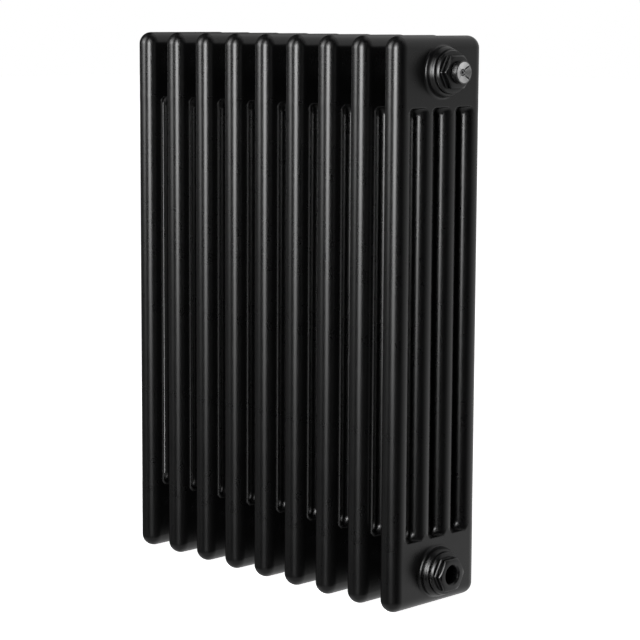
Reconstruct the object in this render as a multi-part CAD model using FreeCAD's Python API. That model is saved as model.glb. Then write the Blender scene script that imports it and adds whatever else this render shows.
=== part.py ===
"""Wall-hung steel column radiator: nine sections of four round tubes between pressed heads.

Every pair of sections is drawn together by a hollow nipple and a flat gasket at each hub.
The four end hubs carry hexagonal reducing bushes. The lower two are open connections, the
upper two hold a blanking plug and an air vent whose bleed screw opens along its thread.

+X runs along the radiator towards the end with the air vent, +Y is the wall side and +Z is up.
The origin is the centre of the outline, level with the lowest points of the bottom heads.
All threads are plain cylinders at the radius where the two threads meet. Sizes are in mm.
"""
import FreeCAD, Part

import math
import os

# ---- overall layout -------------------------------------------------------------------
SECTION_COUNT = 9
SECTION_PITCH = 46.0
COLUMN_COUNT = 4
COLUMN_PITCH = 33.0
HEIGHT = 570.0
HUB_CENTRES = 500.0

# ---- tubes and pressed heads ----------------------------------------------------------
TUBE_RADIUS = 12.5
TUBE_WALL = 1.25
HEAD_HALF_WIDTH = 12.6       # the heads stand slightly proud of the tubes
HEAD_WALL = 1.5
ARCH_DEPTH = 70.0            # from the very top of a head to the crown of its arches
LEG_LENGTH = 12.0            # how far the legs run on past the crown of the arches
LEG_SEAM_TURN = 45.0         # keeps the seam line of a leg's surface off the flats of the slab
ARCH_CORNER_RADIUS = 9.0

# ---- hubs -----------------------------------------------------------------------------
BOSS_RADIUS = 25.0
BOSS_LENGTH = 10.0
BOSS_BASE_FILLET = 4.5
HUB_BORE_RADIUS = 16.6
SOCKET_SPIGOT_RADIUS = 20.0

# ---- nipples between sections ---------------------------------------------------------
NIPPLE_BORE_RADIUS = 13.0
NIPPLE_LENGTH = 22.0
SECTION_GASKET_RADIUS = 23.0

# ---- end bushes -----------------------------------------------------------------------
BUSH_GASKET_THICKNESS = 2.0
BUSH_GASKET_RADIUS = 20.5
FLANGE_RADIUS = 21.75
FLANGE_THICKNESS = 2.6
FLANGE_EDGE = 0.5
HEX_ACROSS_FLATS = 32.0
HEX_LENGTH = 7.4
HEX_CHAMFER_RADIUS = 16.4
HEX_GROOVE_WIDTH = 1.2
HEX_GROOVE_DEPTH = 0.8
HEX_GROOVE_OFFSET = 3.0
BUSH_THREAD_LENGTH = 11.5
BUSH_BORE_RADIUS = 9.3
BUSH_MOUTH_CHAMFER = 1.45

# ---- air vent and blanking plug -------------------------------------------------------
O_RING_SECTION_RADIUS = 0.8
PLUG_HEAD_RADIUS = 11.3
PLUG_NECK_RADIUS = 9.0
PLUG_SEAT_GAP = 1.0
PLUG_HEAD_THICKNESS = 5.5
PLUG_HEAD_CHAMFER = 0.8
PLUG_SHANK_LENGTH = 13.0
PLUG_SOCKET_ACROSS_FLATS = 8.0
PLUG_SOCKET_DEPTH = 6.0
VENT_FACE_DISH = 0.5
VENT_DISH_RADIUS = 9.8

# ---- bleed screw and its seal ---------------------------------------------------------
SCREW_RADIUS = 3.0
SCREW_CLEARANCE = 0.05
SCREW_LENGTH = 11.0
SCREW_RECESS = 0.7
SCREW_SOCKET_ACROSS_FLATS = 2.5
SCREW_SOCKET_DEPTH = 2.5
SEAL_PIN_RADIUS = 1.5
SEAL_PIN_LENGTH = 2.4
SEAL_PIN_SOCKET_DEPTH = 2.8
SEAL_HEAD_RADIUS = 2.4
SEAL_HEAD_GAP = 0.3
SEAL_CONE_LENGTH = 2.0
SEAL_TIP_RADIUS = 0.9
SEAL_SEAT_GAP = 0.02
VENT_PORT_RADIUS = 1.3
VENT_OUTLET_RADIUS = 0.9
VENT_OUTLET_OFFSET = 2.2     # from the back of the vent's head to the centre of its outlet

# ---- places worked out from the sizes above -------------------------------------------
OUTER_COLUMN_Y = COLUMN_PITCH * (COLUMN_COUNT - 1) / 2.0
END_FACE_X = SECTION_PITCH * (SECTION_COUNT - 1) / 2.0 + HEAD_HALF_WIDTH
HUB_RISE = (HEIGHT - HUB_CENTRES) / 2.0
HUB_Z = {"bottom": HUB_RISE, "top": HEIGHT - HUB_RISE}
RIM_CENTRE_Z = HEIGHT - HEAD_HALF_WIDTH
ARCH_CROWN_Z = HEIGHT - ARCH_DEPTH
ARCH_SHOULDER_Z = ARCH_CROWN_Z - ARCH_CORNER_RADIUS
LEG_END_Z = ARCH_CROWN_Z - LEG_LENGTH
BOSS_FACE_X = END_FACE_X + BOSS_LENGTH
FLANGE_BACK_X = BOSS_FACE_X + BUSH_GASKET_THICKNESS
HEX_BACK_X = FLANGE_BACK_X + FLANGE_THICKNESS
BUSH_FACE_X = HEX_BACK_X + HEX_LENGTH
PLUG_BACK_X = BUSH_FACE_X + PLUG_SEAT_GAP
PLUG_FACE_X = PLUG_BACK_X + PLUG_HEAD_THICKNESS
SCREW_FACE_X = PLUG_FACE_X - SCREW_RECESS
SCREW_END_X = SCREW_FACE_X - SCREW_LENGTH
SEAL_SHOULDER_X = SCREW_END_X - SEAL_HEAD_GAP
SEAL_TIP_X = SEAL_SHOULDER_X - SEAL_CONE_LENGTH
SECTION_GASKET_THICKNESS = SECTION_PITCH - 2.0 * (HEAD_HALF_WIDTH + BOSS_LENGTH)

ALONG_X = FreeCAD.Vector(1, 0, 0)
ALONG_Y = FreeCAD.Vector(0, 1, 0)
ALONG_Z = FreeCAD.Vector(0, 0, 1)


# ---- small helpers --------------------------------------------------------------------
def point(x, y, z):
    return FreeCAD.Vector(x, y, z)


def section_x(index):
    """X of the middle of a section, counted from the end away from the air vent."""
    return SECTION_PITCH * (index - (SECTION_COUNT - 1) / 2.0)


def column_ys():
    return [COLUMN_PITCH * index - OUTER_COLUMN_Y for index in range(COLUMN_COUNT)]


def rod_x(radius, x_from, x_to, z=0.0):
    """Solid round bar along X, centred on Y = 0 at height z."""
    return Part.makeCylinder(radius, x_to - x_from, point(x_from, 0, z), ALONG_X)


def ring_x(outer_radius, inner_radius, x_from, x_to, z=0.0):
    return rod_x(outer_radius, x_from, x_to, z).cut(rod_x(inner_radius, x_from, x_to, z))


def turned_x(profile, z=0.0):
    """Solid of revolution about the X axis from a closed (x, radius) profile."""
    wire = Part.makePolygon([point(x, 0, radius) for x, radius in profile + profile[:1]])
    solid = Part.Face(wire).revolve(point(0, 0, 0), ALONG_X, 360)
    solid.translate(point(0, 0, z))
    return solid


def hexagon_x(across_flats, x_from, x_to):
    """Hexagonal bar along X on the origin's axis, with flats at the top and the bottom."""
    corner_radius = across_flats / math.sqrt(3.0)
    corners = []
    for index in range(6):
        angle = math.radians(60 * index)
        corners.append(point(x_from, corner_radius * math.cos(angle), corner_radius * math.sin(angle)))
    outline = Part.makePolygon(corners + corners[:1])
    return Part.Face(outline).extrude(point(x_to - x_from, 0, 0))


def fused(solids):
    return solids[0].multiFuse(solids[1:]).removeSplitter()


def mirrored_x(solid):
    return solid.mirror(point(0, 0, 0), ALONG_X)


def mirrored_z(solid):
    """The same piece upside down, about half the radiator's height."""
    return solid.mirror(point(0, 0, HEIGHT / 2.0), ALONG_Z)


def raised(solid, level):
    """Lift a piece made on the origin's axis to the hub axis of one level."""
    placed = solid.copy()
    placed.translate(point(0, 0, HUB_Z[level]))
    return placed


def export(name, solid):
    solid.exportStep("parts/" + name + ".step")
    print(name, "solids", len(solid.Solids), "volume", round(solid.Volume), "valid", solid.isValid())


# ---- pressed heads --------------------------------------------------------------------
def rounded_slab(inset):
    """Flat-sided slab with full-round rims along its top, front and rear, in from the skin by inset."""
    radius = HEAD_HALF_WIDTH - inset
    bottom_z = ARCH_SHOULDER_Z + inset
    height = RIM_CENTRE_Z - bottom_z
    depth = 2.0 * OUTER_COLUMN_Y
    slab = Part.makeBox(2.0 * radius, depth, height, point(-radius, -OUTER_COLUMN_Y, bottom_z))
    slab = slab.fuse(Part.makeCylinder(radius, depth, point(0, -OUTER_COLUMN_Y, RIM_CENTRE_Z), ALONG_Y))
    for corner_y in (-OUTER_COLUMN_Y, OUTER_COLUMN_Y):
        slab = slab.fuse(Part.makeSphere(radius, point(0, corner_y, RIM_CENTRE_Z)))
        slab = slab.fuse(Part.makeCylinder(radius, height, point(0, corner_y, bottom_z), ALONG_Z))
    return slab.removeSplitter()


def arch_tool(middle_y, inset):
    """Round-shouldered arch between two legs; an inset crown leaves a wall under the water space."""
    half_width = COLUMN_PITCH / 2.0
    crown_z = ARCH_CROWN_Z + inset
    shoulder_z = ARCH_SHOULDER_Z + inset
    diagonal = ARCH_CORNER_RADIUS * math.sqrt(0.5)
    edges = []
    corners = {}
    for side in (-1, 1):
        outer_y = middle_y + side * half_width
        centre_y = outer_y - side * ARCH_CORNER_RADIUS
        foot = point(0, outer_y, shoulder_z)
        middle = point(0, centre_y + side * diagonal, shoulder_z + diagonal)
        crown = point(0, centre_y, crown_z)
        corners[side] = (foot, crown)
        edges.append(Part.Arc(foot, middle, crown).toShape())
    edges.append(Part.makeLine(corners[-1][1], corners[1][1]))
    edges.append(Part.makeLine(corners[1][0], corners[-1][0]))
    face = Part.Face(Part.Wire(Part.__sortEdges__(edges)))
    tool = face.extrude(point(2.0 * SECTION_PITCH, 0, 0))
    tool.translate(point(-SECTION_PITCH, 0, 0))
    return tool


def arched(slab, inset):
    """Cut the arches out of the foot of a slab and add the round legs between them."""
    for column_y in column_ys()[:-1]:
        slab = slab.cut(arch_tool(column_y + COLUMN_PITCH / 2.0, inset))
    leg_height = ARCH_CROWN_Z + HEAD_WALL - LEG_END_Z
    for column_y in column_ys():
        foot = point(0, column_y, LEG_END_Z)
        leg = Part.makeCylinder(TUBE_RADIUS - inset, leg_height, foot, ALONG_Z)
        leg.rotate(foot, ALONG_Z, LEG_SEAM_TURN)
        slab = slab.fuse(leg)
    return slab.removeSplitter()


def boss_base_edges(solid):
    """Edges where the hub bosses leave the sides and the rounded top of the slab."""
    edges = []
    for edge in solid.Edges:
        middle = edge.valueAt((edge.FirstParameter + edge.LastParameter) / 2.0)
        on_boss = abs(math.hypot(middle.y, middle.z - HUB_Z["top"]) - BOSS_RADIUS) < 0.01
        box = edge.BoundBox
        inside_skin = max(abs(box.XMin), abs(box.XMax)) < HEAD_HALF_WIDTH + 0.01
        if on_boss and inside_skin and abs(middle.x) > HEAD_HALF_WIDTH / 2.0:
            edges.append(edge)
    return edges


def top_head():
    """Hollow top head with four open legs and a round hole for a hub socket in both sides."""
    water_space = arched(rounded_slab(HEAD_WALL), HEAD_WALL)
    socket_holes = rod_x(SOCKET_SPIGOT_RADIUS, -HEAD_HALF_WIDTH, HEAD_HALF_WIDTH, HUB_Z["top"])
    return arched(rounded_slab(0.0), 0.0).cut(water_space).cut(socket_holes)


def hub_socket_pair():
    """Threaded sockets welded to both sides of a top head, each with a spigot through the wall."""
    hub_z = HUB_Z["top"]
    reach = HEAD_HALF_WIDTH + BOSS_LENGTH
    slab = rounded_slab(0.0)
    bossed = slab.fuse(rod_x(BOSS_RADIUS, -reach, reach, hub_z)).removeSplitter()
    bossed = bossed.makeFillet(BOSS_BASE_FILLET, boss_base_edges(bossed))
    bore = rod_x(HUB_BORE_RADIUS, -reach, reach, hub_z)
    inner_x = HEAD_HALF_WIDTH - HEAD_WALL
    sockets = []
    for boss in bossed.cut(slab).Solids:
        side = math.copysign(1.0, boss.CenterOfMass.x)
        spigot_ends = sorted((side * inner_x, side * (HEAD_HALF_WIDTH + BOSS_LENGTH / 2.0)))
        spigot = rod_x(SOCKET_SPIGOT_RADIUS, spigot_ends[0], spigot_ends[1], hub_z)
        sockets.append(boss.fuse(spigot).removeSplitter().cut(bore))
    return Part.makeCompound(sockets)


# ---- tubes ----------------------------------------------------------------------------
def section_tubes():
    """Four plain tubes that butt against the legs of the two heads of a section."""
    start_z = HEIGHT - LEG_END_Z
    length = LEG_END_Z - start_z
    tubes = []
    for column_y in column_ys():
        outside = Part.makeCylinder(TUBE_RADIUS, length, point(0, column_y, start_z), ALONG_Z)
        inside = Part.makeCylinder(TUBE_RADIUS - TUBE_WALL, length, point(0, column_y, start_z), ALONG_Z)
        tubes.append(outside.cut(inside))
    return Part.makeCompound(tubes)


# ---- joints between sections ----------------------------------------------------------
def section_joints(half_length, outer_radius, inner_radius, level):
    """One ring in each gap between neighbouring sections, all on one hub axis."""
    rings = []
    for index in range(SECTION_COUNT - 1):
        middle_x = section_x(index) + SECTION_PITCH / 2.0
        rings.append(ring_x(outer_radius, inner_radius, middle_x - half_length, middle_x + half_length))
    return raised(Part.makeCompound(rings), level)


# ---- end bushes and their gaskets -----------------------------------------------------
def bush_gasket():
    return ring_x(BUSH_GASKET_RADIUS, HUB_BORE_RADIUS, BOSS_FACE_X, FLANGE_BACK_X)


def end_bush():
    """Reducing bush at the +X end: threaded barrel, flange and grooved hexagon, bored through."""
    barrel = rod_x(HUB_BORE_RADIUS, BOSS_FACE_X - BUSH_THREAD_LENGTH, FLANGE_BACK_X)
    flange = turned_x([
        (FLANGE_BACK_X, 0.0),
        (FLANGE_BACK_X, FLANGE_RADIUS - FLANGE_EDGE),
        (FLANGE_BACK_X + FLANGE_EDGE, FLANGE_RADIUS),
        (HEX_BACK_X - FLANGE_EDGE, FLANGE_RADIUS),
        (HEX_BACK_X, FLANGE_RADIUS - FLANGE_EDGE),
        (HEX_BACK_X, 0.0)])
    solid = fused([barrel, flange, bush_hexagon()])
    bore_start_x = BOSS_FACE_X - BUSH_THREAD_LENGTH
    bore = turned_x([
        (bore_start_x, 0.0),
        (bore_start_x, BUSH_BORE_RADIUS),
        (BUSH_FACE_X - BUSH_MOUTH_CHAMFER, BUSH_BORE_RADIUS),
        (BUSH_FACE_X, BUSH_BORE_RADIUS + BUSH_MOUTH_CHAMFER),
        (BUSH_FACE_X, 0.0)])
    return solid.cut(bore)


def bush_hexagon():
    """Hexagon with a turned chamfer on its outer corners and a shallow groove round it."""
    corner_radius = HEX_ACROSS_FLATS / math.sqrt(3.0)
    chamfer_length = (corner_radius - HEX_CHAMFER_RADIUS) * math.tan(math.radians(30))
    blank = turned_x([
        (HEX_BACK_X, 0.0),
        (HEX_BACK_X, corner_radius),
        (BUSH_FACE_X - chamfer_length, corner_radius),
        (BUSH_FACE_X, HEX_CHAMFER_RADIUS),
        (BUSH_FACE_X, 0.0)])
    groove_x = HEX_BACK_X + HEX_GROOVE_OFFSET
    groove_floor = HEX_ACROSS_FLATS / 2.0 - HEX_GROOVE_DEPTH
    groove = ring_x(corner_radius, groove_floor, groove_x, groove_x + HEX_GROOVE_WIDTH)
    return hexagon_x(HEX_ACROSS_FLATS, HEX_BACK_X, BUSH_FACE_X).common(blank).cut(groove)


# ---- air vent and blanking plug -------------------------------------------------------
def plug_blank():
    """Round head, a neck for the O-ring and a threaded shank that fills the bush."""
    shank_end_x = BUSH_FACE_X - PLUG_SHANK_LENGTH
    neck_start_x = BUSH_FACE_X - BUSH_MOUTH_CHAMFER
    return turned_x([
        (shank_end_x, 0.0),
        (shank_end_x, BUSH_BORE_RADIUS),
        (neck_start_x, BUSH_BORE_RADIUS),
        (neck_start_x, PLUG_NECK_RADIUS),
        (PLUG_BACK_X, PLUG_NECK_RADIUS),
        (PLUG_BACK_X, PLUG_HEAD_RADIUS),
        (PLUG_FACE_X - PLUG_HEAD_CHAMFER, PLUG_HEAD_RADIUS),
        (PLUG_FACE_X, PLUG_HEAD_RADIUS - PLUG_HEAD_CHAMFER),
        (PLUG_FACE_X, 0.0)])


def plug_o_ring():
    """O-ring in the chamfered mouth of the bush, round the neck of the plug."""
    centre_radius = PLUG_NECK_RADIUS + O_RING_SECTION_RADIUS
    centre_x = PLUG_BACK_X - O_RING_SECTION_RADIUS
    return Part.makeTorus(centre_radius, O_RING_SECTION_RADIUS, point(centre_x, 0, 0), ALONG_X)


def blanking_plug():
    socket = hexagon_x(PLUG_SOCKET_ACROSS_FLATS, PLUG_FACE_X - PLUG_SOCKET_DEPTH, PLUG_FACE_X)
    return plug_blank().cut(socket)


def vent_body():
    """Vent body with a dished face, the screw's bore, a coned seat, an inlet port and an outlet."""
    shank_end_x = BUSH_FACE_X - PLUG_SHANK_LENGTH
    bore_radius = SCREW_RADIUS + SCREW_CLEARANCE
    seat_slope = (SEAL_HEAD_RADIUS - SEAL_TIP_RADIUS) / SEAL_CONE_LENGTH
    seat_gap = SEAL_SEAT_GAP * math.sqrt(1.0 + seat_slope ** 2)
    port_end_x = SEAL_TIP_X + (VENT_PORT_RADIUS - SEAL_TIP_RADIUS - seat_gap) / seat_slope
    water_way = turned_x([
        (shank_end_x, 0.0),
        (shank_end_x, VENT_PORT_RADIUS),
        (port_end_x, VENT_PORT_RADIUS),
        (SEAL_SHOULDER_X, SEAL_HEAD_RADIUS + seat_gap),
        (SEAL_SHOULDER_X, bore_radius),
        (PLUG_FACE_X, bore_radius),
        (PLUG_FACE_X, 0.0)])
    dish = turned_x([
        (PLUG_FACE_X - VENT_FACE_DISH, 0.0),
        (PLUG_FACE_X - VENT_FACE_DISH, bore_radius),
        (PLUG_FACE_X, VENT_DISH_RADIUS),
        (PLUG_FACE_X, 0.0)])
    outlet_x = PLUG_BACK_X + VENT_OUTLET_OFFSET
    outlet = Part.makeCylinder(
        VENT_OUTLET_RADIUS, PLUG_HEAD_RADIUS, point(outlet_x, 0, 0), point(0, 0, -1))
    return plug_blank().cut(water_way).cut(dish).cut(outlet)


# ---- bleed screw and its seal ---------------------------------------------------------
def bleed_screw():
    """Screw with a hexagon socket outside and a blind hole inside that holds the seal's pin."""
    body = rod_x(SCREW_RADIUS, SCREW_END_X, SCREW_FACE_X)
    socket = hexagon_x(SCREW_SOCKET_ACROSS_FLATS, SCREW_FACE_X - SCREW_SOCKET_DEPTH, SCREW_FACE_X)
    pin_hole = rod_x(
        SEAL_PIN_RADIUS + SCREW_CLEARANCE, SCREW_END_X, SCREW_END_X + SEAL_PIN_SOCKET_DEPTH)
    return body.cut(socket).cut(pin_hole)


def bleed_seal():
    """Captive cone that the screw pushes onto the seat without turning it."""
    return turned_x([
        (SEAL_TIP_X, 0.0),
        (SEAL_TIP_X, SEAL_TIP_RADIUS),
        (SEAL_SHOULDER_X, SEAL_HEAD_RADIUS),
        (SEAL_SHOULDER_X, SEAL_PIN_RADIUS),
        (SEAL_SHOULDER_X + SEAL_HEAD_GAP + SEAL_PIN_LENGTH, SEAL_PIN_RADIUS),
        (SEAL_SHOULDER_X + SEAL_HEAD_GAP + SEAL_PIN_LENGTH, 0.0)])


# ---- assembly -------------------------------------------------------------------------
def export_sections():
    upper_head = top_head()
    lower_head = mirrored_z(upper_head)
    tubes = section_tubes()
    for index in range(SECTION_COUNT):
        number = str(index + 1)
        for name, piece in (("top_head_", upper_head), ("bottom_head_", lower_head), ("tubes_", tubes)):
            placed = piece.copy()
            placed.translate(point(section_x(index), 0, 0))
            export(name + number, placed)


def export_hub_sockets():
    """All sockets of one level share a node, as separate solids."""
    pair = hub_socket_pair()
    upper = []
    for index in range(SECTION_COUNT):
        for socket in pair.Solids:
            placed = socket.copy()
            placed.translate(point(section_x(index), 0, 0))
            upper.append(placed)
    export("top_hub_sockets", Part.makeCompound(upper))
    export("bottom_hub_sockets", Part.makeCompound([mirrored_z(socket) for socket in upper]))


def export_joints():
    """Nipples and flat gaskets between the sockets of neighbouring sections."""
    for level in ("top", "bottom"):
        nipples = section_joints(NIPPLE_LENGTH / 2.0, HUB_BORE_RADIUS, NIPPLE_BORE_RADIUS, level)
        export(level + "_nipples", nipples)
        gaskets = section_joints(
            SECTION_GASKET_THICKNESS / 2.0, SECTION_GASKET_RADIUS, HUB_BORE_RADIUS, level)
        export(level + "_section_gaskets", gaskets)


def export_ends():
    """The vent end is at +X, the far end is its mirror image at -X."""
    for level in ("top", "bottom"):
        for name, piece in (("_bush", end_bush()), ("_bush_gasket", bush_gasket())):
            export(level + name + "_near", raised(piece, level))
            export(level + name + "_far", raised(mirrored_x(piece), level))
    export("blanking_plug", raised(mirrored_x(blanking_plug()), "top"))
    export("blanking_plug_o_ring", raised(mirrored_x(plug_o_ring()), "top"))
    export("vent_body", raised(vent_body(), "top"))
    export("vent_o_ring", raised(plug_o_ring(), "top"))
    export("bleed_screw", raised(bleed_screw(), "top"))
    export("bleed_seal", raised(bleed_seal(), "top"))


os.makedirs("parts", exist_ok=True)
export_sections()
export_hub_sockets()
export_joints()
export_ends()
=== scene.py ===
import itertools
import math

import bmesh
import bpy
import numpy as np
from mathutils import Matrix, Vector


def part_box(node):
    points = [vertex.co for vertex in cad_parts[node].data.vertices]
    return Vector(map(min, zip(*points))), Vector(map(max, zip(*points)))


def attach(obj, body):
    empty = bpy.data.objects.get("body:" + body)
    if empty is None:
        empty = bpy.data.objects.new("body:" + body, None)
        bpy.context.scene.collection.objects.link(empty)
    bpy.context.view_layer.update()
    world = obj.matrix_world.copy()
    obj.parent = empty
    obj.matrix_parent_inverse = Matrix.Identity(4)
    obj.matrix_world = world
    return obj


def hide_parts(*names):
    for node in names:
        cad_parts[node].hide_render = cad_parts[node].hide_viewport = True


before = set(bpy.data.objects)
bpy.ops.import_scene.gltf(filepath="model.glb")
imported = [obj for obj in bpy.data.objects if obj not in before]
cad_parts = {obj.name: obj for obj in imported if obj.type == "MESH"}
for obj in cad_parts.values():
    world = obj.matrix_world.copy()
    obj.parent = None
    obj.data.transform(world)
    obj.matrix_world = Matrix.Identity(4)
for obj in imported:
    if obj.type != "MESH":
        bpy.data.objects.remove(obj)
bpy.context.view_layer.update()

MM = 0.001
SECTION_COUNT = 9

# ---- sizes of the sections, in millimetres; a lower head mirrors the upper one ------------
HEIGHT = 570.0
COLUMNS_Y = (-49.5, -16.5, 16.5, 49.5)
COLUMN_PITCH = 33.0
OUTER_COLUMN_Y = 49.5
TUBE_RADIUS = 12.5
TUBE_WALL = 1.25
HEAD_RADIUS = 12.6
RIM_CENTRE_Z = 557.4  # centre of the full-round top edge
SHOULDER_Z = 491.0  # below this a head is only its legs
SKIN_BLEND = 9.0  # height over which the skin grows from the tubes' radius to the head's
CROWN_Z = 500.0  # top of the arched openings between the columns
CROWN_ROUND = 0.6
ARCH_CORNER = 9.0
ARCH_FILLET = 9.3
LEG_END_Z = 488.0
LEG_FILLET = 1.2
HUB_Z = 535.0
HUB_BORE = 16.6
BOSS_RADIUS = 25.0
BOSS_FACE = 22.6  # from the middle of a section to the face of its hub socket
BOSS_FILLET = 2.4
SEAM_Z = 509.0
SEAM_DEPTH = 0.03
SEAM_WIDTH = 4.0
SEAM_FADE = 3.0  # distance past the outer columns' centres over which the seam comes in

# ---- sizes of the end fittings, in millimetres; names ending in X are places in the row ---
BUSH_INNER_X = 195.1
FLANGE_BACK_X = 208.6
HEX_BACK_X = 211.2
BUSH_FACE_X = 218.6
PLUG_BACK_X = 219.6
PLUG_FACE_X = 225.1
SCREW_FACE_X = 224.4
SHANK_END_X = BUSH_FACE_X - 13.0
SCREW_TIP_X = SCREW_FACE_X - 11.0
SHANK_RADIUS = 9.25
NECK_RADIUS = 9.0
PLUG_SOCKET = 8.0  # across flats
SCREW_SOCKET = 2.5  # across flats
BRIGHT_FROM, BRIGHT_TO = 3.4, 10.2  # reach of the vent's cone in plain chrome; its rim and bore get a darkened copy of the chrome, painted shade

# ---- how finely surfaces are divided ------------------------------------------------------
GRID_STEP = 1.27
GRID_MARGIN = 2.0
NET_PASSES = 5
TUBE_SEGMENTS = 72
TUBE_SPANS = 34
SOCKET_SEGMENTS = 112
VENT_SEGMENTS = 120
SMOOTH_BELOW = 38.0  # degrees; steeper edges stay sharp
FITTING_SMOOTH_BELOW = 22.0

# ---- floor, light and camera, in metres and degrees ---------------------------------------
FLOOR_SIZE = 14.0
FLOOR_DROP = 0.002
LIGHT_LOW, LIGHT_HIGH = -1.6, 3.2
LIGHT_DISTANCE = 1.8
FRONT_Y = -0.05
CAMERA_AZIMUTH = 45.22
CAMERA_ELEVATION = 7.30
CAMERA_ROLL = 0.29
CAMERA_PLACE = (1.56017, -1.51998, 0.59069)
CAMERA_LENS = 116.94
CAMERA_SHIFT_Y = -0.0625


# ---- meshes -------------------------------------------------------------------------------
def mesh_object(name, mesh, body, material, nodes, location=(0.0, 0.0, 0.0)):
    """Puts a mesh in the scene as a piece that rides on a body and replaces CAD nodes."""
    obj = bpy.data.objects.new(name, mesh)
    bpy.context.scene.collection.objects.link(obj)
    obj.location = location
    if not mesh.materials:
        mesh.materials.append(material)
    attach(obj, body)
    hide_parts(*nodes)


def length2(a, b):
    """Length of a vector given by its two components."""
    return np.sqrt(a * a + b * b)


def round_union(a, b, radius):
    """Union of two distance fields with a circular fillet between them. The radius may vary."""
    bite = length2(np.maximum(radius - a, 0.0), np.maximum(radius - b, 0.0))
    return np.maximum(radius, np.minimum(a, b)) - bite


def round_cut(a, b, radius):
    """Intersection of two distance fields with a rounded edge between them."""
    edge = length2(np.maximum(radius + a, 0.0), np.maximum(radius + b, 0.0))
    return np.minimum(-radius, np.maximum(a, b)) + edge


def head_field(p):
    """Distance field of an upper head, in millimetres from the section's middle."""
    x, y, z = p[..., 0], p[..., 1], p[..., 2]
    beyond = np.maximum(np.abs(y) - OUTER_COLUMN_Y, 0.0)
    above = np.maximum(z - RIM_CENTRE_Z, 0.0)
    grown = np.clip((z - SHOULDER_Z) / SKIN_BLEND, 0.0, 1.0)
    skin = TUBE_RADIUS + (HEAD_RADIUS - TUBE_RADIUS) * grown
    pillow = np.sqrt(x * x + beyond * beyond + above * above) - skin
    # the openings lie round y = -pitch, 0 and pitch, halfway between the columns
    from_middle = np.abs(y - COLUMN_PITCH * np.clip(np.round(y / COLUMN_PITCH), -1.0, 1.0))
    side = from_middle - (COLUMN_PITCH / 2.0 - ARCH_CORNER)
    over = z - (CROWN_Z - ARCH_CORNER)
    outside = length2(np.maximum(side, 0.0), np.maximum(over, 0.0))
    arch = outside + np.minimum(np.maximum(side, over), 0.0)
    slab = np.maximum(round_cut(pillow, ARCH_CORNER - arch, CROWN_ROUND), SHOULDER_Z - z)
    legs = np.full(x.shape, np.inf)
    for column in COLUMNS_Y:
        legs = np.minimum(legs, length2(x, y - column) - TUBE_RADIUS)
    legs = np.maximum(legs, z - RIM_CENTRE_Z)
    fillet = LEG_FILLET + ARCH_FILLET * np.clip(1.0 - (x / TUBE_RADIUS) ** 2, 0.0, 1.0)
    body = round_union(slab, legs, fillet)
    body = np.maximum(body, pillow)
    boss = length2(y, z - HUB_Z) - BOSS_RADIUS
    body = round_union(body, boss, BOSS_FILLET)
    seam = SEAM_DEPTH * np.exp(-((z - SEAM_Z) / SEAM_WIDTH) ** 2)
    body = body + seam * np.clip(beyond / SEAM_FADE, 0.0, 1.0)
    return np.maximum(body, HUB_BORE - length2(y, z - HUB_Z))


def gradient(field, p, eps=0.04):
    """Slope of a field at each point, by central differences."""
    g = np.empty_like(p)
    for k in range(3):
        d = np.zeros(3)
        d[k] = eps
        g[..., k] = (field(p + d) - field(p - d)) / (2.0 * eps)
    return g


def surface_net(field, low, high, step):
    """Points and quads of field == 0 on a regular grid, each point moved onto the surface."""
    axes = [np.arange(low[k], high[k] + step, step) for k in range(3)]
    grid = np.stack(np.meshgrid(*axes, indexing="ij"), axis=-1)
    value = field(grid)
    inside = value < 0.0
    n = [len(a) for a in axes]

    def corner(array, offset):
        return array[tuple(slice(offset[k], n[k] - 1 + offset[k]) for k in range(3))]

    total = np.zeros([m - 1 for m in n], int)
    for offset in itertools.product((0, 1), repeat=3):
        total += corner(inside, offset)
    active = (total > 0) & (total < 8)
    place = np.zeros(total.shape + (3,))
    count = np.zeros(total.shape)
    for axis in range(3):
        for pair in itertools.product((0, 1), repeat=2):
            start = list(pair)
            start.insert(axis, 0)
            stop = list(start)
            stop[axis] = 1
            a, b = corner(value, start), corner(value, stop)
            cross = (a < 0.0) != (b < 0.0)
            t = np.where(cross, a / np.where(cross, a - b, 1.0), 0.0)
            at = corner(grid, start).copy()
            at[..., axis] += t * step
            place += np.where(cross[..., None], at, 0.0)
            count += cross
    points = place[active] / count[active][:, None]
    number = np.full(total.shape, -1)
    number[active] = np.arange(len(points))
    longest_move = 0.4 * step
    for _ in range(NET_PASSES):
        g = gradient(field, points)
        move = field(points)[:, None] * g / np.maximum((g * g).sum(1), 1e-6)[:, None]
        points -= np.clip(move, -longest_move, longest_move)
    quads = []
    for axis in range(3):
        u, v = (axis + 1) % 3, (axis + 2) % 3
        first = [slice(1, n[k] - 1) for k in range(3)]
        first[axis] = slice(0, n[axis] - 1)
        second = list(first)
        second[axis] = slice(1, n[axis])
        a, b = inside[tuple(first)], inside[tuple(second)]
        ring = []
        for du, dv in ((-1, -1), (0, -1), (0, 0), (-1, 0)):
            pick = list(first)
            pick[u] = slice(1 + du, n[u] - 1 + du)
            pick[v] = slice(1 + dv, n[v] - 1 + dv)
            ring.append(number[tuple(pick)])
        ring = np.stack(ring, axis=-1)
        quads.append(ring[a & ~b])
        quads.append(ring[b & ~a][:, ::-1])
    return points, np.concatenate(quads)


def on_plane(edge, place, normal):
    """Whether both ends of an edge lie on a plane."""
    return all(abs((v.co - Vector(place)).dot(Vector(normal))) < 1e-3 for v in edge.verts)


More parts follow.
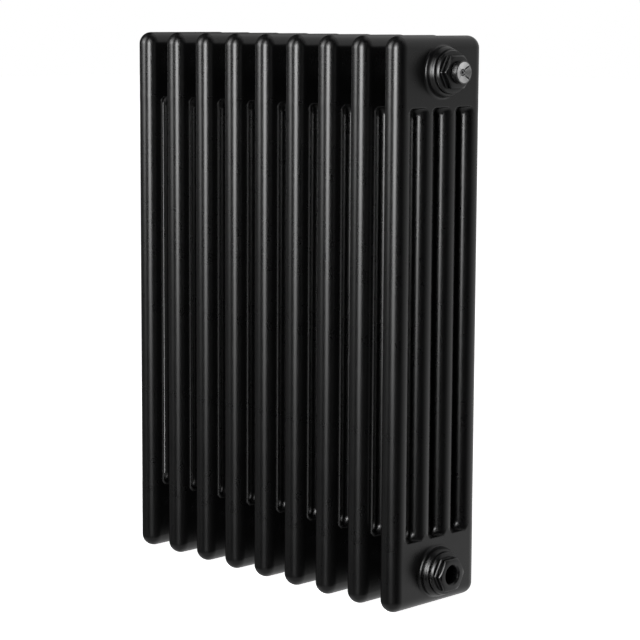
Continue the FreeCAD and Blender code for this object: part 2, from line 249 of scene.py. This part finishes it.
def head_mesh(name, upper):
    """Head with its legs and the rounded roots of both sockets, mirrored for a lower head."""
    low = (-BOSS_FACE, -OUTER_COLUMN_Y - HEAD_RADIUS - GRID_MARGIN, LEG_END_Z - 2.0 * GRID_MARGIN)
    high = (BOSS_FACE, OUTER_COLUMN_Y + HEAD_RADIUS + GRID_MARGIN, HEIGHT + GRID_MARGIN)
    points, quads = surface_net(head_field, low, high, GRID_STEP)
    mesh = bpy.data.meshes.new(name)
    mesh.from_pydata(points.tolist(), [], quads.tolist())
    bm = bmesh.new()
    bm.from_mesh(mesh)
    root = HEAD_RADIUS + BOSS_FILLET
    # the two sides end at the sockets' rings and are bridged; the legs' ends are filled
    cuts = (
        ((root, 0, 0), (1, 0, 0)), ((-root, 0, 0), (-1, 0, 0)), ((0, 0, LEG_END_Z), (0, 0, -1)))
    for place, normal in cuts:
        everything = bm.verts[:] + bm.edges[:] + bm.faces[:]
        bmesh.ops.bisect_plane(
            bm, geom=everything, plane_co=place, plane_no=normal, clear_outer=True, dist=1e-4)
        rim = [e for e in bm.edges if e.is_boundary and on_plane(e, place, normal)]
        if normal[2]:
            bmesh.ops.holes_fill(bm, edges=rim, sides=0)
        else:
            bmesh.ops.bridge_loops(bm, edges=rim)
    bmesh.ops.remove_doubles(bm, verts=bm.verts[:], dist=1e-3)
    bmesh.ops.recalc_face_normals(bm, faces=bm.faces[:])
    bm.to_mesh(mesh)
    bm.free()
    co = np.array([v.co for v in mesh.vertices])
    g = gradient(head_field, co)
    normals = g / np.linalg.norm(g, axis=1)[:, None]
    if not upper:
        mesh.transform(Matrix.Translation((0, 0, HEIGHT)) @ Matrix.Scale(-1.0, 4, (0, 0, 1)))
        mesh.flip_normals()
        normals = normals * np.array((1.0, 1.0, -1.0))
    mesh.transform(Matrix.Scale(MM, 4))
    for face in mesh.polygons:
        face.use_smooth = True
    mesh.normals_split_custom_set_from_vertices(normals.tolist())
    mesh.update()
    return mesh


def turned_verts(profile_at, angles, centre, mirror):
    """One row of points for each angle round an axis along X. profile_at gives (x, r) pairs."""
    rows = []
    for angle in angles:
        row = []
        for x, r in profile_at(angle):
            y, z = centre[0] + r * math.cos(angle), centre[1] + r * math.sin(angle)
            row.append((mirror * x, y, z))
        rows.append(row)
    return rows


def add_turned(bm, profile_at, angles, centre=(0.0, 0.0), mirror=1.0, closed=True):
    """Adds a turned solid. A closed profile makes a ring; an open one has its ends on the axis."""
    rows = turned_verts(profile_at, angles, centre, mirror)
    count = len(rows[0])
    if closed:
        verts = [[bm.verts.new(Vector(p) * MM) for p in row] for row in rows]
        spans = [(j, (j + 1) % count) for j in range(count)]
    else:
        first = bm.verts.new(Vector(rows[0][0]) * MM)
        last = bm.verts.new(Vector(rows[0][-1]) * MM)
        verts = []
        for row in rows:
            verts.append([first] + [bm.verts.new(Vector(p) * MM) for p in row[1:-1]] + [last])
        spans = [(j, j + 1) for j in range(count - 1)]
    for i in range(len(verts)):
        here, there = verts[i], verts[(i + 1) % len(verts)]
        for a, b in spans:
            corners = []
            for v in (here[a], here[b], there[b], there[a]):
                if v not in corners:
                    corners.append(v)
            if len(corners) > 2:
                bm.faces.new(corners)


def finished_mesh(name, bm, smooth_below=SMOOTH_BELOW):
    """Mesh with its faces turned outward, smooth except at edges steeper than an angle."""
    bmesh.ops.recalc_face_normals(bm, faces=bm.faces[:])
    mesh = bpy.data.meshes.new(name)
    bm.to_mesh(mesh)
    bm.free()
    for face in mesh.polygons:
        face.use_smooth = True
    mesh.set_sharp_from_angle(angle=math.radians(smooth_below))
    return mesh


def even_angles(count):
    return [2.0 * math.pi * i / count for i in range(count)]


def hex_angles():
    """Angles round a hexagon with flats at the top and the bottom, closer at its corners."""
    half = (5.8, 11.5, 17.0, 22.5, 26.5, 28.2, 29.2)
    offsets = (-30.0,) + tuple(-offset for offset in reversed(half)) + (0.0,) + half
    return [math.radians(90.0 + 60.0 * flat + offset) for flat in range(6) for offset in offsets]


def hex_radius(angle, across_flats, corner=math.inf):
    """Distance from a hexagon's axis to its edge, with the corners turned down to a radius."""
    turn = (math.degrees(angle) - 90.0 + 30.0) % 60.0 - 30.0
    return min(across_flats / 2.0 / math.cos(math.radians(turn)), corner)


# ---- profiles -----------------------------------------------------------------------------
def socket_profile(_angle):
    """Socket ring: a short barrel, then a cone with a fine turned groove, up to the face."""
    root, edge = HEAD_RADIUS + BOSS_FILLET, 0.4
    shoulder, cone = 18.0, math.tan(math.radians(26.0))
    groove, width, depth, flank = 20.3, 0.35, 0.2, 0.08

    def on_cone(x):
        return BOSS_RADIUS - (x - shoulder) * cone

    return [
        (root, HUB_BORE), (root, BOSS_RADIUS), (shoulder - 0.5, BOSS_RADIUS),
        (shoulder, BOSS_RADIUS - 0.07), (shoulder + 0.5, on_cone(shoulder + 0.5)),
        (groove, on_cone(groove)), (groove + flank, on_cone(groove) - depth),
        (groove + width, on_cone(groove + width) - depth),
        (groove + width + flank, on_cone(groove + width)),
        (BOSS_FACE - 0.3, on_cone(BOSS_FACE - 0.3)), (BOSS_FACE - 0.08, on_cone(BOSS_FACE) - 0.1),
        (BOSS_FACE, on_cone(BOSS_FACE) - edge), (BOSS_FACE, HUB_BORE + edge),
        (BOSS_FACE - edge, HUB_BORE)]


def bush_profile(angle):
    """Barrel, conical flange, grooved hexagon with a turned chamfer, face and bored mouth."""
    barrel, lead = 16.5, 0.8
    flange, edge, drop = 21.75, 0.4, 0.85
    flats, corner, root = 32.0, 18.3, 0.45
    groove, width, depth = HEX_BACK_X + 2.6, 1.5, 0.9
    chamfer_r, slope = 16.4, math.tan(math.radians(30.0))
    bore, mouth, mouth_depth = 9.3, 1.45, 1.85
    flank = 0.15
    r = hex_radius(angle, flats, corner)
    floor = min(r, flats / 2.0 - depth + 0.35)
    cut = max(r - chamfer_r, 0.02) * slope
    face_r = min(r, chamfer_r)
    return [
        (BUSH_INNER_X, bore), (BUSH_INNER_X, barrel - lead), (BUSH_INNER_X + lead, barrel),
        (FLANGE_BACK_X, barrel), (FLANGE_BACK_X, flange - edge),
        (FLANGE_BACK_X + 0.15, flange - 0.12), (FLANGE_BACK_X + edge, flange),
        (HEX_BACK_X - 0.3, flange - drop), (HEX_BACK_X - 0.08, flange - drop - 0.18),
        (HEX_BACK_X, flange - drop - 0.45), (HEX_BACK_X, r + root), (HEX_BACK_X + 0.8, r),
        (groove, r), (groove + flank, floor), (groove + width - flank, floor), (groove + width, r),
        (BUSH_FACE_X - cut - 1.1, r), (BUSH_FACE_X - cut - 0.1, r - 0.5),
        (BUSH_FACE_X - 0.08, face_r - 0.6), (BUSH_FACE_X, face_r - 0.85),
        (BUSH_FACE_X, bore + mouth + 0.15), (BUSH_FACE_X - 0.1, bore + mouth),
        (BUSH_FACE_X - mouth_depth, bore)]


def head_of_plug():
    """Outer profile shared by the vent and the blanking plug, from the shank to the face."""
    neck = BUSH_FACE_X - 1.45
    lead, head, corner, edge = 0.6, 11.3, 0.35, 0.8
    return [
        (SHANK_END_X, SHANK_RADIUS - lead), (SHANK_END_X + lead, SHANK_RADIUS),
        (neck, SHANK_RADIUS), (neck, NECK_RADIUS), (PLUG_BACK_X, NECK_RADIUS),
        (PLUG_BACK_X, head - corner), (PLUG_BACK_X + corner, head), (PLUG_FACE_X - edge, head),
        (PLUG_FACE_X - edge * 0.45, head - edge * 0.12),
        (PLUG_FACE_X - edge * 0.12, head - edge * 0.45), (PLUG_FACE_X, head - edge)]


def plug_profile(angle):
    """Solid plug with a hexagon socket in its face and a drill point at the socket's bottom."""
    r = hex_radius(angle, PLUG_SOCKET)
    depth, point, edge = 6.0, 1.2, 0.25
    floor = PLUG_FACE_X - depth
    tip = [(SHANK_END_X, 0.0)]
    socket = [(PLUG_FACE_X, r + edge), (PLUG_FACE_X - edge, r), (floor, r), (floor - point, 0.0)]
    return tip + head_of_plug() + socket


def vent_profile(angle):
    """Coned face with turned rings and four slots, the screw's bore, its seat and the water way."""
    cone_r, cone, bore = 10.1, 2.3, 3.05
    ring_count, ripple = 12, 0.03
    slot_depth, slot_reach = 0.55, math.radians(8.0)
    quarter = math.radians(90.0)
    from_slot = abs(angle % quarter - quarter / 2.0)
    slot = slot_depth * max(1.0 - from_slot / slot_reach, 0.0)
    seat_x, seat_r, seat_depth, port = SCREW_TIP_X - 0.3, 2.45, 1.45, 1.3
    rings = []
    for k in range(1, ring_count):
        share = k / ring_count
        ridge = ripple if k % 2 else 0.0
        cut = slot * min(4.0 * share, 4.0 - 4.0 * share, 1.0)
        x = PLUG_FACE_X - cone * share + ridge - 0.02 - cut
        rings.append((x, cone_r + (bore - cone_r) * share))
    return (head_of_plug() + [(PLUG_FACE_X, cone_r)] + rings
            + [(PLUG_FACE_X - cone, bore + 0.1), (PLUG_FACE_X - cone - 0.2, bore), (seat_x, bore),
               (seat_x, seat_r), (seat_x - seat_depth, port), (SHANK_END_X, port)])


def screw_profile(angle):
    """Slim screw whose end sits at the bottom of the vent's cone, with its hexagon socket."""
    r = hex_radius(angle, SCREW_SOCKET)
    radius, chamfer, face = 3.0, 0.25, SCREW_FACE_X - 1.7
    pin_hole, pin_depth, socket_depth, socket_point = 1.55, 2.8, 2.3, 2.7
    return [
        (SCREW_TIP_X + pin_depth, 0.0), (SCREW_TIP_X + pin_depth, pin_hole),
        (SCREW_TIP_X, pin_hole), (SCREW_TIP_X, 2.7), (SCREW_TIP_X + 0.3, radius),
        (face - chamfer, radius), (face, radius - chamfer), (face, r + 0.1), (face - 0.1, r),
        (face - socket_depth, r), (face - socket_point, 0.0)]


def tube_profile_rows():
    """Heights and radii of a tube: true between shallow dressed welds at its two ends."""
    low, high = HEIGHT - LEG_END_Z, LEG_END_Z
    rows = []
    for k in range(TUBE_SPANS + 1):
        rows.append((low + (high - low) * k / TUBE_SPANS, TUBE_RADIUS))
    ends = [(low, 0.0), (low + 1.2, 0.008), (low + 3.0, 0.014), (low + 5.5, 0.006)]
    dressed = [(z, TUBE_RADIUS - dip) for z, dip in ends]
    mirrored = [(low + high - z, r) for z, r in reversed(dressed)]
    return dressed + rows[1:-1] + mirrored


def tubes_mesh(name):
    """Four welded tubes of one section, each a closed pipe."""
    bm = bmesh.new()
    rows = tube_profile_rows()
    inner = TUBE_RADIUS - TUBE_WALL
    profile = rows + [(rows[-1][0], inner), (rows[0][0], inner)]
    for column in COLUMNS_Y:
        rings = []
        for z, r in profile:
            ring = []
            for angle in even_angles(TUBE_SEGMENTS):
                place = Vector((r * math.sin(angle), column - r * math.cos(angle), z))
                ring.append(bm.verts.new(place * MM))
            rings.append(ring)
        for k in range(len(rings)):
            here, there = rings[k], rings[(k + 1) % len(rings)]
            for i in range(TUBE_SEGMENTS):
                j = (i + 1) % TUBE_SEGMENTS
                bm.faces.new((here[i], here[j], there[j], there[i]))
    return finished_mesh(name, bm)


# ---- materials ----------------------------------------------------------------------------
def new_material(name):
    """Material with one Principled shader, and the object coordinates that its noises use."""
    material = bpy.data.materials.new(name)
    material.use_nodes = True
    nodes, links = material.node_tree.nodes, material.node_tree.links
    nodes.clear()
    out = nodes.new("ShaderNodeOutputMaterial")
    shader = nodes.new("ShaderNodeBsdfPrincipled")
    links.new(shader.outputs["BSDF"], out.inputs["Surface"])
    coords = nodes.new("ShaderNodeTexCoord")
    return material, nodes, links, shader, coords.outputs["Object"]


def noise(nodes, links, coords, scale, detail=2.0, roughness=0.5):
    """Noise over the object, scale in lumps per metre."""
    node = nodes.new("ShaderNodeTexNoise")
    node.inputs["Scale"].default_value = scale
    node.inputs["Detail"].default_value = detail
    node.inputs["Roughness"].default_value = roughness
    links.new(coords, node.inputs["Vector"])
    return node.outputs["Fac"]


def spread(nodes, links, value, low, high, edge_low=0.3, edge_high=0.7):
    """Maps a noise onto a range."""
    node = nodes.new("ShaderNodeMapRange")
    node.inputs["From Min"].default_value = edge_low
    node.inputs["From Max"].default_value = edge_high
    node.inputs["To Min"].default_value = low
    node.inputs["To Max"].default_value = high
    links.new(value, node.inputs["Value"])
    return node.outputs["Result"]


def two_tones(nodes, links, value, dark, light, edge_low=0.3, edge_high=0.7):
    """Colours between two tones, by a noise."""
    node = nodes.new("ShaderNodeValToRGB")
    node.color_ramp.elements[0].position = edge_low
    node.color_ramp.elements[0].color = (*dark, 1.0)
    node.color_ramp.elements[1].position = edge_high
    node.color_ramp.elements[1].color = (*light, 1.0)
    links.new(value, node.inputs["Fac"])
    return node.outputs["Color"]


def bump(nodes, links, height, strength, distance, below=None):
    """Bump from a noise, on top of another bump if one is given."""
    node = nodes.new("ShaderNodeBump")
    node.inputs["Strength"].default_value = strength
    node.inputs["Distance"].default_value = distance
    links.new(height, node.inputs["Height"])
    if below is not None:
        links.new(below, node.inputs["Normal"])
    return node.outputs["Normal"]


def black_paint():
    """Satin black powder coat: orange peel over a slow waviness, faint clouds in gloss and tone."""
    material, nodes, links, shader, coords = new_material("satin_black_paint")
    dark, light = (0.0014, 0.0014, 0.0015), (0.0028, 0.0028, 0.0029)
    tone = noise(nodes, links, coords, scale=22.0, detail=3.0)
    links.new(two_tones(nodes, links, tone, dark, light), shader.inputs["Base Color"])
    cloud = noise(nodes, links, coords, scale=60.0, detail=3.0, roughness=0.6)
    links.new(spread(nodes, links, cloud, low=0.265, high=0.30), shader.inputs["Roughness"])
    slow = noise(nodes, links, coords, scale=30.0, detail=1.0)
    wave = bump(nodes, links, slow, strength=0.12, distance=0.0004)
    fine = noise(nodes, links, coords, scale=520.0, detail=2.0)
    peel = bump(nodes, links, fine, strength=0.012, distance=0.0001, below=wave)
    links.new(peel, shader.inputs["Normal"])
    return material


def chrome(name, tint, roughness, anisotropic):
    """Chrome over turned brass: gloss drawn out round the lathe's axis, small stains in it."""
    material, nodes, links, shader, coords = new_material(name)
    shader.inputs["Metallic"].default_value = 1.0
    tone = noise(nodes, links, coords, scale=420.0, detail=3.0)
    dark = tuple(c * 0.9 for c in tint)
    links.new(two_tones(nodes, links, tone, dark, tint), shader.inputs["Base Color"])
    stain = noise(nodes, links, coords, scale=900.0, detail=2.0)
    gloss = spread(nodes, links, stain, low=roughness * 0.8, high=roughness * 1.25)
    links.new(gloss, shader.inputs["Roughness"])
    if anisotropic:
        shader.inputs["Anisotropic"].default_value = anisotropic
        tangent = nodes.new("ShaderNodeTangent")
        tangent.direction_type = "RADIAL"
        tangent.axis = "X"
        links.new(tangent.outputs["Tangent"], shader.inputs["Tangent"])
    grain = noise(nodes, links, coords, scale=1500.0, detail=2.0)
    links.new(bump(nodes, links, grain, strength=0.15, distance=0.00004), shader.inputs["Normal"])
    return material


def rubber(name, dark, light, roughness):
    """Matt moulded rubber or plastic with a fine grain."""
    material, nodes, links, shader, coords = new_material(name)
    tone = noise(nodes, links, coords, scale=300.0, detail=4.0)
    links.new(two_tones(nodes, links, tone, dark, light), shader.inputs["Base Color"])
    cloud = noise(nodes, links, coords, scale=700.0, detail=2.0)
    gloss = spread(nodes, links, cloud, low=roughness - 0.06, high=roughness + 0.06)
    links.new(gloss, shader.inputs["Roughness"])
    grain = noise(nodes, links, coords, scale=1800.0, detail=3.0)
    links.new(bump(nodes, links, grain, strength=0.3, distance=0.00005), shader.inputs["Normal"])
    return material


def zinc_steel():
    """Zinc-plated turned steel of the hidden nipples."""
    material, nodes, links, shader, coords = new_material("zinc_plated_steel")
    shader.inputs["Metallic"].default_value = 1.0
    dark, light = (0.36, 0.36, 0.37), (0.50, 0.50, 0.49)
    tone = noise(nodes, links, coords, scale=160.0, detail=4.0)
    links.new(two_tones(nodes, links, tone, dark, light), shader.inputs["Base Color"])
    cloud = noise(nodes, links, coords, scale=500.0, detail=3.0)
    links.new(spread(nodes, links, cloud, low=0.3, high=0.45), shader.inputs["Roughness"])
    grain = noise(nodes, links, coords, scale=900.0, detail=3.0)
    links.new(bump(nodes, links, grain, strength=0.25, distance=0.00005), shader.inputs["Normal"])
    return material


paint = black_paint()
chrome_body = chrome("turned_chrome", (0.66, 0.66, 0.66), roughness=0.22, anisotropic=0.75)
# the vent's rim and bore get a dark copy of the chrome that holds back their reflections: painted
# shade
rim_chrome_painted_shade = chrome("vent_rim_chrome", (0.13, 0.13, 0.13), roughness=0.32, anisotropic=0.0)
chrome_plug = chrome("bright_chrome", (0.80, 0.80, 0.80), roughness=0.14, anisotropic=0.0)
# the bleed screw's chrome is tinted dark so the recessed centre of the vent looks shaded: painted
# shade
screw_chrome_painted_shade = chrome("screw_chrome", (0.26, 0.26, 0.265), roughness=0.4, anisotropic=0.0)
gasket = rubber("flat_gasket_rubber", (0.010, 0.010, 0.010), (0.022, 0.022, 0.021), roughness=0.7)
o_ring = rubber("o_ring_rubber", (0.010, 0.010, 0.010), (0.020, 0.020, 0.020), roughness=0.5)
plastic = rubber("seal_plastic", (0.74, 0.74, 0.70), (0.84, 0.84, 0.80), roughness=0.5)
steel = zinc_steel()


def painted(name, mesh, node, location=(0.0, 0.0, 0.0)):
    """Painted piece that takes the place of one CAD node."""
    mesh_object(name, mesh, "radiator", paint, [node], location)


def section_middle(index):
    """X of the middle of a section, in metres, from its CAD tubes."""
    low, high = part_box(f"tubes_{index}")
    return (low.x + high.x) / 2.0


# ---- sections -----------------------------------------------------------------------------
upper_mesh = head_mesh("upper_head", True)
lower_mesh = head_mesh("lower_head", False)
tube_mesh = tubes_mesh("tube_set")
for index in range(1, SECTION_COUNT + 1):
    place = (section_middle(index), 0.0, 0.0)
    painted(f"painted_top_head_{index}", upper_mesh, f"top_head_{index}", place)
    painted(f"painted_bottom_head_{index}", lower_mesh, f"bottom_head_{index}", place)
    painted(f"painted_tubes_{index}", tube_mesh, f"tubes_{index}", place)

for level, hub in (("top", HUB_Z), ("bottom", HEIGHT - HUB_Z)):
    bm = bmesh.new()
    for index in range(1, SECTION_COUNT + 1):
        middle = section_middle(index) / MM
        for side in (-1.0, 1.0):
            def placed(angle, middle=middle, side=side):
                return [(middle + side * x, r) for x, r in socket_profile(angle)]
            add_turned(bm, placed, even_angles(SOCKET_SEGMENTS), (0.0, hub))
    sockets_mesh = finished_mesh(f"{level}_sockets", bm)
    painted(f"painted_{level}_sockets", sockets_mesh, f"{level}_hub_sockets")

# ---- end fittings -------------------------------------------------------------------------
for level, hub in (("top", HUB_Z), ("bottom", HEIGHT - HUB_Z)):
    for end, mirror in (("near", 1.0), ("far", -1.0)):
        bush = f"{level}_bush_{end}"
        bm = bmesh.new()
        add_turned(bm, bush_profile, hex_angles(), (0.0, hub), mirror)
        painted(f"painted_{bush}", finished_mesh(bush, bm, FITTING_SMOOTH_BELOW), bush)

bm = bmesh.new()
add_turned(bm, plug_profile, hex_angles(), (0.0, HUB_Z), -1.0, closed=False)
plug_mesh = finished_mesh("blanking_plug_turned", bm, FITTING_SMOOTH_BELOW)
mesh_object("chromed_blanking_plug", plug_mesh, "radiator", chrome_plug,
            ["blanking_plug"])

bm = bmesh.new()
add_turned(bm, vent_profile, even_angles(VENT_SEGMENTS), (0.0, HUB_Z))
vent_mesh = finished_mesh("vent_turned", bm, FITTING_SMOOTH_BELOW)
# faces outside the cone take the darkened chrome, painted shade on the rim and in the bore
vent_mesh.materials.append(chrome_body)
vent_mesh.materials.append(rim_chrome_painted_shade)
for face in vent_mesh.polygons:
    reach = math.hypot(face.center.y, face.center.z - HUB_Z * MM)
    face.material_index = 0 if BRIGHT_FROM * MM < reach < BRIGHT_TO * MM else 1
mesh_object("chromed_vent", vent_mesh, "radiator", chrome_body, ["vent_body"])

bm = bmesh.new()
add_turned(bm, screw_profile, hex_angles(), (0.0, HUB_Z), closed=False)
screw_mesh = finished_mesh("screw_turned", bm, FITTING_SMOOTH_BELOW)
mesh_object("chromed_bleed_screw", screw_mesh, "bleed_turn", screw_chrome_painted_shade,
            ["bleed_screw"])

# the small parts inside keep their CAD shape
kept = {
    "nipples": steel, "section_gaskets": gasket, "bush_gasket": gasket, "o_ring": o_ring,
    "bleed_seal": plastic}
for name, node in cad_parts.items():
    for key, material in kept.items():
        if key in name:
            for slot in node.material_slots:
                slot.material = material

# ---- floor: glows white, so that no shadow shows, and adds no light to the object ---------
bm = bmesh.new()
bmesh.ops.create_grid(bm, x_segments=2, y_segments=2, size=FLOOR_SIZE)
floor_mesh = bpy.data.meshes.new("pale_floor")
bm.to_mesh(floor_mesh)
bm.free()
floor = bpy.data.objects.new("pale_floor", floor_mesh)
bpy.context.scene.collection.objects.link(floor)
floor.location = (0.0, 0.0, -FLOOR_DROP)
floor.visible_glossy = False
floor.visible_diffuse = False
floor_material, nodes, links, shader, coords = new_material("pale_floor_paint")
floor_tone = noise(nodes, links, coords, scale=3.0, detail=2.0)
floor_colour = two_tones(nodes, links, floor_tone, (0.78, 0.78, 0.78), (0.82, 0.82, 0.82))
links.new(floor_colour, shader.inputs["Base Color"])
shader.inputs["Emission Color"].default_value = (1.0, 1.0, 1.0, 1.0)
shader.inputs["Emission Strength"].default_value = 1.0
shader.inputs["Roughness"].default_value = 0.9
floor_mesh.materials.append(floor_material)


# ---- light --------------------------------------------------------------------------------
def strip_light(name, place, aim, width, height, steps):
    """Tall upright strip facing aim. steps are (height, radiance) pairs from its foot up."""
    light = bpy.data.lights.new(name, "AREA")
    light.shape = "RECTANGLE"
    light.size = width
    light.size_y = height
    light.energy = 1.0
    obj = bpy.data.objects.new(name, light)
    bpy.context.scene.collection.objects.link(obj)
    obj.location = place
    away = Vector((place[0] - aim[0], place[1] - aim[1], 0.0)).normalized()
    side = Vector((0.0, 0.0, 1.0)).cross(away)
    facing = Matrix((side, (0.0, 0.0, 1.0), away)).transposed().to_4x4()
    obj.matrix_world = Matrix.Translation(place) @ facing
    obj.visible_camera = False
    light.use_nodes = True
    nodes, links = light.node_tree.nodes, light.node_tree.links
    emission = nodes["Emission"]
    geometry = nodes.new("ShaderNodeNewGeometry")
    split = nodes.new("ShaderNodeSeparateXYZ")
    links.new(geometry.outputs["Position"], split.inputs["Vector"])
    ramp = nodes.new("ShaderNodeFloatCurve")
    low, high = steps[0][0], steps[-1][0]
    top = max(v for _, v in steps)
    scale = nodes.new("ShaderNodeMapRange")
    scale.inputs["From Min"].default_value = low
    scale.inputs["From Max"].default_value = high
    links.new(split.outputs["Z"], scale.inputs["Value"])
    links.new(scale.outputs["Result"], ramp.inputs["Value"])
    curve = ramp.mapping.curves[0]
    while len(curve.points) < len(steps):
        curve.points.new(0.5, 0.5)
    for point, (z, value) in zip(curve.points, steps):
        point.location = ((z - low) / (high - low), value / top)
    ramp.mapping.update()
    # a lamp of this size and one watt gives 1 / (pi * area) watts per steradian and square metre
    gain = nodes.new("ShaderNodeMath")
    gain.operation = "MULTIPLY"
    gain.inputs[1].default_value = top * math.pi * width * height
    links.new(ramp.outputs["Value"], gain.inputs[0])
    links.new(gain.outputs["Value"], emission.inputs["Strength"])


def placed_strip(name, azimuth, width, steps):
    """Strip before the front tubes at an azimuth in degrees, positive towards the vent end."""
    turn = math.radians(azimuth)
    x, y = LIGHT_DISTANCE * math.sin(turn), FRONT_Y - LIGHT_DISTANCE * math.cos(turn)
    place = (x, y, (LIGHT_LOW + LIGHT_HIGH) / 2.0)
    strip_light(name, place, (0.0, FRONT_Y), width, LIGHT_HIGH - LIGHT_LOW, steps)


placed_strip("strip_right", 24.5, 0.74, [
    (-1.6, 0.0), (-0.9, 0.1), (-0.32, 0.32), (-0.14, 0.9), (0.04, 3.0), (0.20, 6.6), (0.33, 10.6),
    (0.44, 12.8), (0.55, 15.5), (0.8, 15.5), (1.2, 9.5), (1.7, 4.5), (2.5, 1.8), (3.2, 0.6)])
placed_strip("strip_left", -30.0, 0.66, [
    (-1.6, 0.0), (-0.9, 0.05), (-0.32, 0.18), (-0.14, 0.28), (0.04, 0.45), (0.20, 1.15),
    (0.33, 2.5), (0.44, 3.8), (0.55, 6.0), (0.8, 8.5), (1.2, 6.5), (1.7, 3.5), (2.5, 1.4),
    (3.2, 0.5)])
placed_strip("strip_far_left", -49.0, 0.55, [
    (-1.6, 0.0), (-0.9, 0.02), (-0.32, 0.05), (-0.14, 0.08), (0.04, 0.1), (0.20, 0.18), (0.33, 0.3),
    (0.44, 0.5), (0.55, 1.0), (0.8, 2.8), (1.2, 3.6), (1.7, 2.6), (2.5, 1.2), (3.2, 0.4)])


def studio_world():
    """White to the camera; to the object, dark in front and a white ground and wall behind it."""
    world = bpy.data.worlds.new("studio")
    bpy.context.scene.world = world
    world.use_nodes = True
    nodes, links = world.node_tree.nodes, world.node_tree.links
    nodes.clear()
    out = nodes.new("ShaderNodeOutputWorld")
    coords = nodes.new("ShaderNodeTexCoord")
    split = nodes.new("ShaderNodeSeparateXYZ")
    links.new(coords.outputs["Generated"], split.inputs["Vector"])

    def math_node(operation, a, b):
        node = nodes.new("ShaderNodeMath")
        node.operation = operation
        for socket, value in zip(node.inputs, (a, b)):
            if isinstance(value, float):
                socket.default_value = value
            else:
                links.new(value, socket)
        return node.outputs["Value"]

    def smooth(value, low, high, to_low, to_high):
        node = nodes.new("ShaderNodeMapRange")
        node.interpolation_type = "SMOOTHSTEP"
        node.inputs["From Min"].default_value = low
        node.inputs["From Max"].default_value = high
        node.inputs["To Min"].default_value = to_low
        node.inputs["To Max"].default_value = to_high
        links.new(value, node.inputs["Value"])
        return node.outputs["Result"]

    # azimuth measured from -Y towards +X, with 180 degrees straight behind
    minus_y = math_node("MULTIPLY", split.outputs["Y"], -1.0)
    azimuth = math_node("ARCTAN2", split.outputs["X"], minus_y)
    turned = math_node("ADD", azimuth, math.radians(360.0))
    wrapped = math_node("MODULO", turned, math.radians(360.0))
    degree = math.radians(1.0)
    rise = smooth(wrapped, 80.0 * degree, 150.0 * degree, 0.0, 1.0)
    fall = smooth(wrapped, 205.0 * degree, 235.0 * degree, 1.0, 0.0)
    behind = math_node("MULTIPLY", rise, fall)
    # behind the object: bright ground, less so close by and towards the horizon, then the wall
    height = split.outputs["Z"]
    ground = smooth(height, -0.26, -0.02, 0.85, 0.52)
    close_by = smooth(height, -0.60, -0.38, -0.45, 0.0)
    wall = smooth(height, 0.06, 0.24, 0.0, 0.08)
    backdrop = math_node("ADD", math_node("ADD", ground, close_by), wall)
    level = math_node("MULTIPLY", behind, backdrop)
    # a weak glow from the left, a stronger one from the ground underneath, a trace all round
    left_rise = smooth(wrapped, 238.0 * degree, 262.0 * degree, 0.0, 1.0)
    left_fall = smooth(wrapped, 296.0 * degree, 318.0 * degree, 1.0, 0.0)
    left = math_node("MULTIPLY", math_node("MULTIPLY", left_rise, left_fall), 0.09)
    underneath = smooth(height, -0.62, -0.40, 0.4, 0.0)
    glow = math_node("ADD", math_node("ADD", left, underneath), 0.003)
    strength = math_node("ADD", level, glow)
    seen = nodes.new("ShaderNodeBackground")
    seen.inputs["Color"].default_value = (1.0, 1.0, 1.0, 1.0)
    lit = nodes.new("ShaderNodeBackground")
    lit.inputs["Color"].default_value = (1.0, 1.0, 1.0, 1.0)
    links.new(strength, lit.inputs["Strength"])
    path = nodes.new("ShaderNodeLightPath")
    mix = nodes.new("ShaderNodeMixShader")
    links.new(path.outputs["Is Camera Ray"], mix.inputs["Fac"])
    links.new(lit.outputs["Background"], mix.inputs[1])
    links.new(seen.outputs["Background"], mix.inputs[2])
    links.new(mix.outputs["Shader"], out.inputs["Surface"])


studio_world()

# ---- camera: fitted to the photograph's outline -------------------------------------------
a, e, r = (math.radians(v) for v in (CAMERA_AZIMUTH, CAMERA_ELEVATION, CAMERA_ROLL))
forward = Vector((-math.sin(a) * math.cos(e), math.cos(a) * math.cos(e), -math.sin(e)))
right = Vector((math.cos(a), math.sin(a), 0.0))
up = right.cross(forward)
right, up = math.cos(r) * right + math.sin(r) * up, math.cos(r) * up - math.sin(r) * right
camera_data = bpy.data.cameras.new("camera")
camera_data.sensor_width = 36.0
camera_data.lens = CAMERA_LENS
camera_data.shift_y = CAMERA_SHIFT_Y
camera_data.clip_start = 0.05
camera_data.clip_end = 60.0
camera = bpy.data.objects.new("camera", camera_data)
bpy.context.scene.collection.objects.link(camera)
camera_turn = Matrix((right, up, -forward)).transposed().to_4x4()
camera.matrix_world = Matrix.Translation(CAMERA_PLACE) @ camera_turn
bpy.context.scene.camera = camera
bpy.context.scene.view_settings.view_transform = "Standard"
